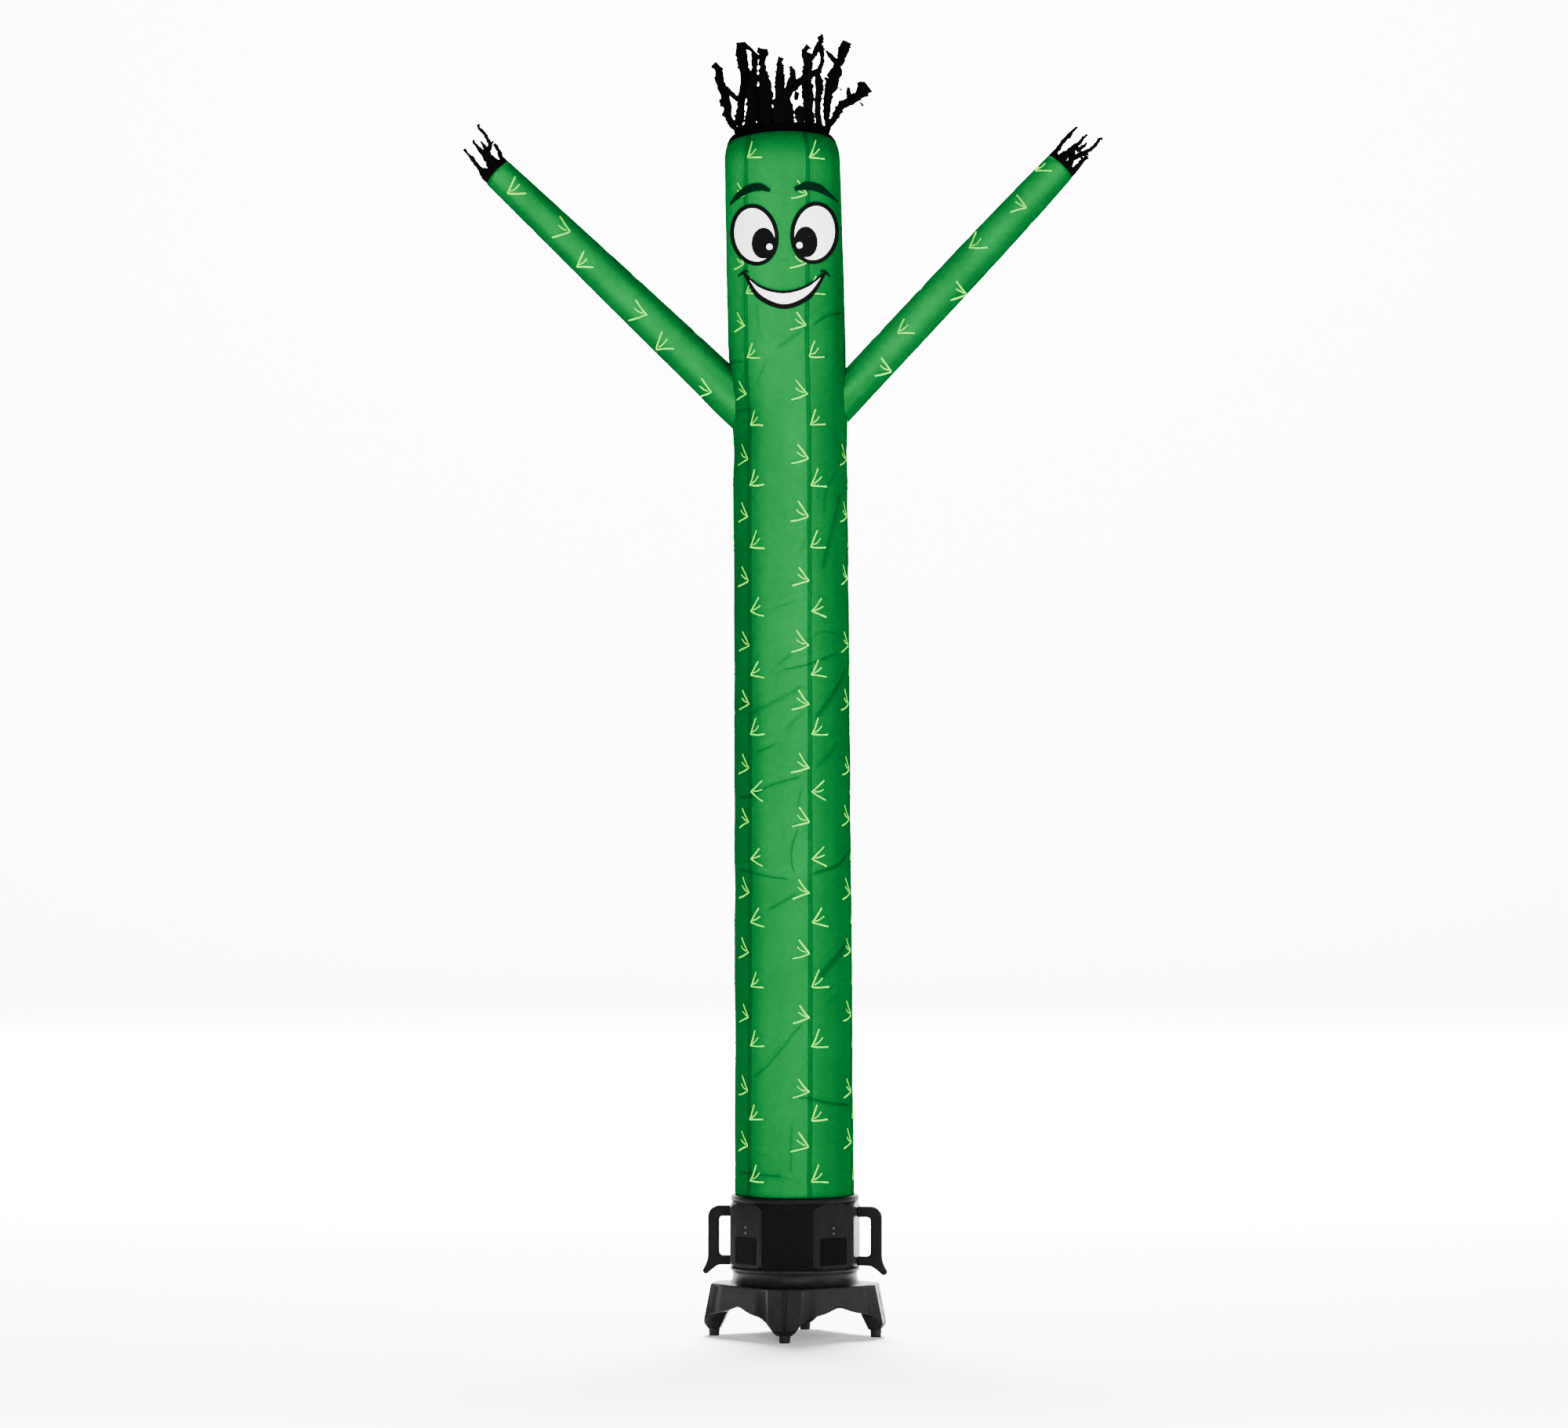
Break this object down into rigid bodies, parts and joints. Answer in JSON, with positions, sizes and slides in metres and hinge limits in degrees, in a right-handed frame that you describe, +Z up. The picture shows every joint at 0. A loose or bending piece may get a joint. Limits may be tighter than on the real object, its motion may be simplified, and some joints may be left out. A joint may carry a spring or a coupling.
{
  "type": "inflatable air dancer with its blower",
  "caption": "Tall leaning tube of nylon with raised arms and slashed strips for hair and fingers, standing on a blower with splayed legs, side handles and an open duct.",
  "frame": {"origin": "on the floor under the middle of the object's bounding box, which is 30 mm left of the outlet's axis as seen from the front", "axes": "+Z up along the tube, -Y towards the front with the face, +X towards the arm on the right as seen from the front"},
  "size_m": [1.6611, 0.4744, 3.3817],
  "materials": {
    "green_nylon": "thin satin nylon, saturated green",
    "black_nylon": "thin matt nylon, black",
    "black_plastic": "finely grained moulded plastic, black",
    "label_film": "smooth blank film, black",
    "foot_rubber": "matt rubber, black"
  },
  "bodies": {
    "root": {"panel_1": "green_nylon", "panel_2": "green_nylon", "panel_3": "green_nylon", "panel_4": "green_nylon", "panel_5": "green_nylon", "panel_6": "green_nylon", "arm_left": "green_nylon", "arm_right": "green_nylon", "hair_fringe": "black_nylon", "hand_fringe_left": "black_nylon", "hand_fringe_right": "black_nylon", "blower_outlet": "black_plastic", "blower_drum": "black_plastic", "blower_base": "black_plastic", "foot_pad_1": "foot_rubber", "foot_pad_2": "foot_rubber", "foot_pad_3": "foot_rubber", "foot_pad_4": "foot_rubber", "handle_left": "black_plastic", "handle_right": "black_plastic", "label_plate_left": "label_film", "label_plate_right": "label_film"}
  },
  "joints": []
}
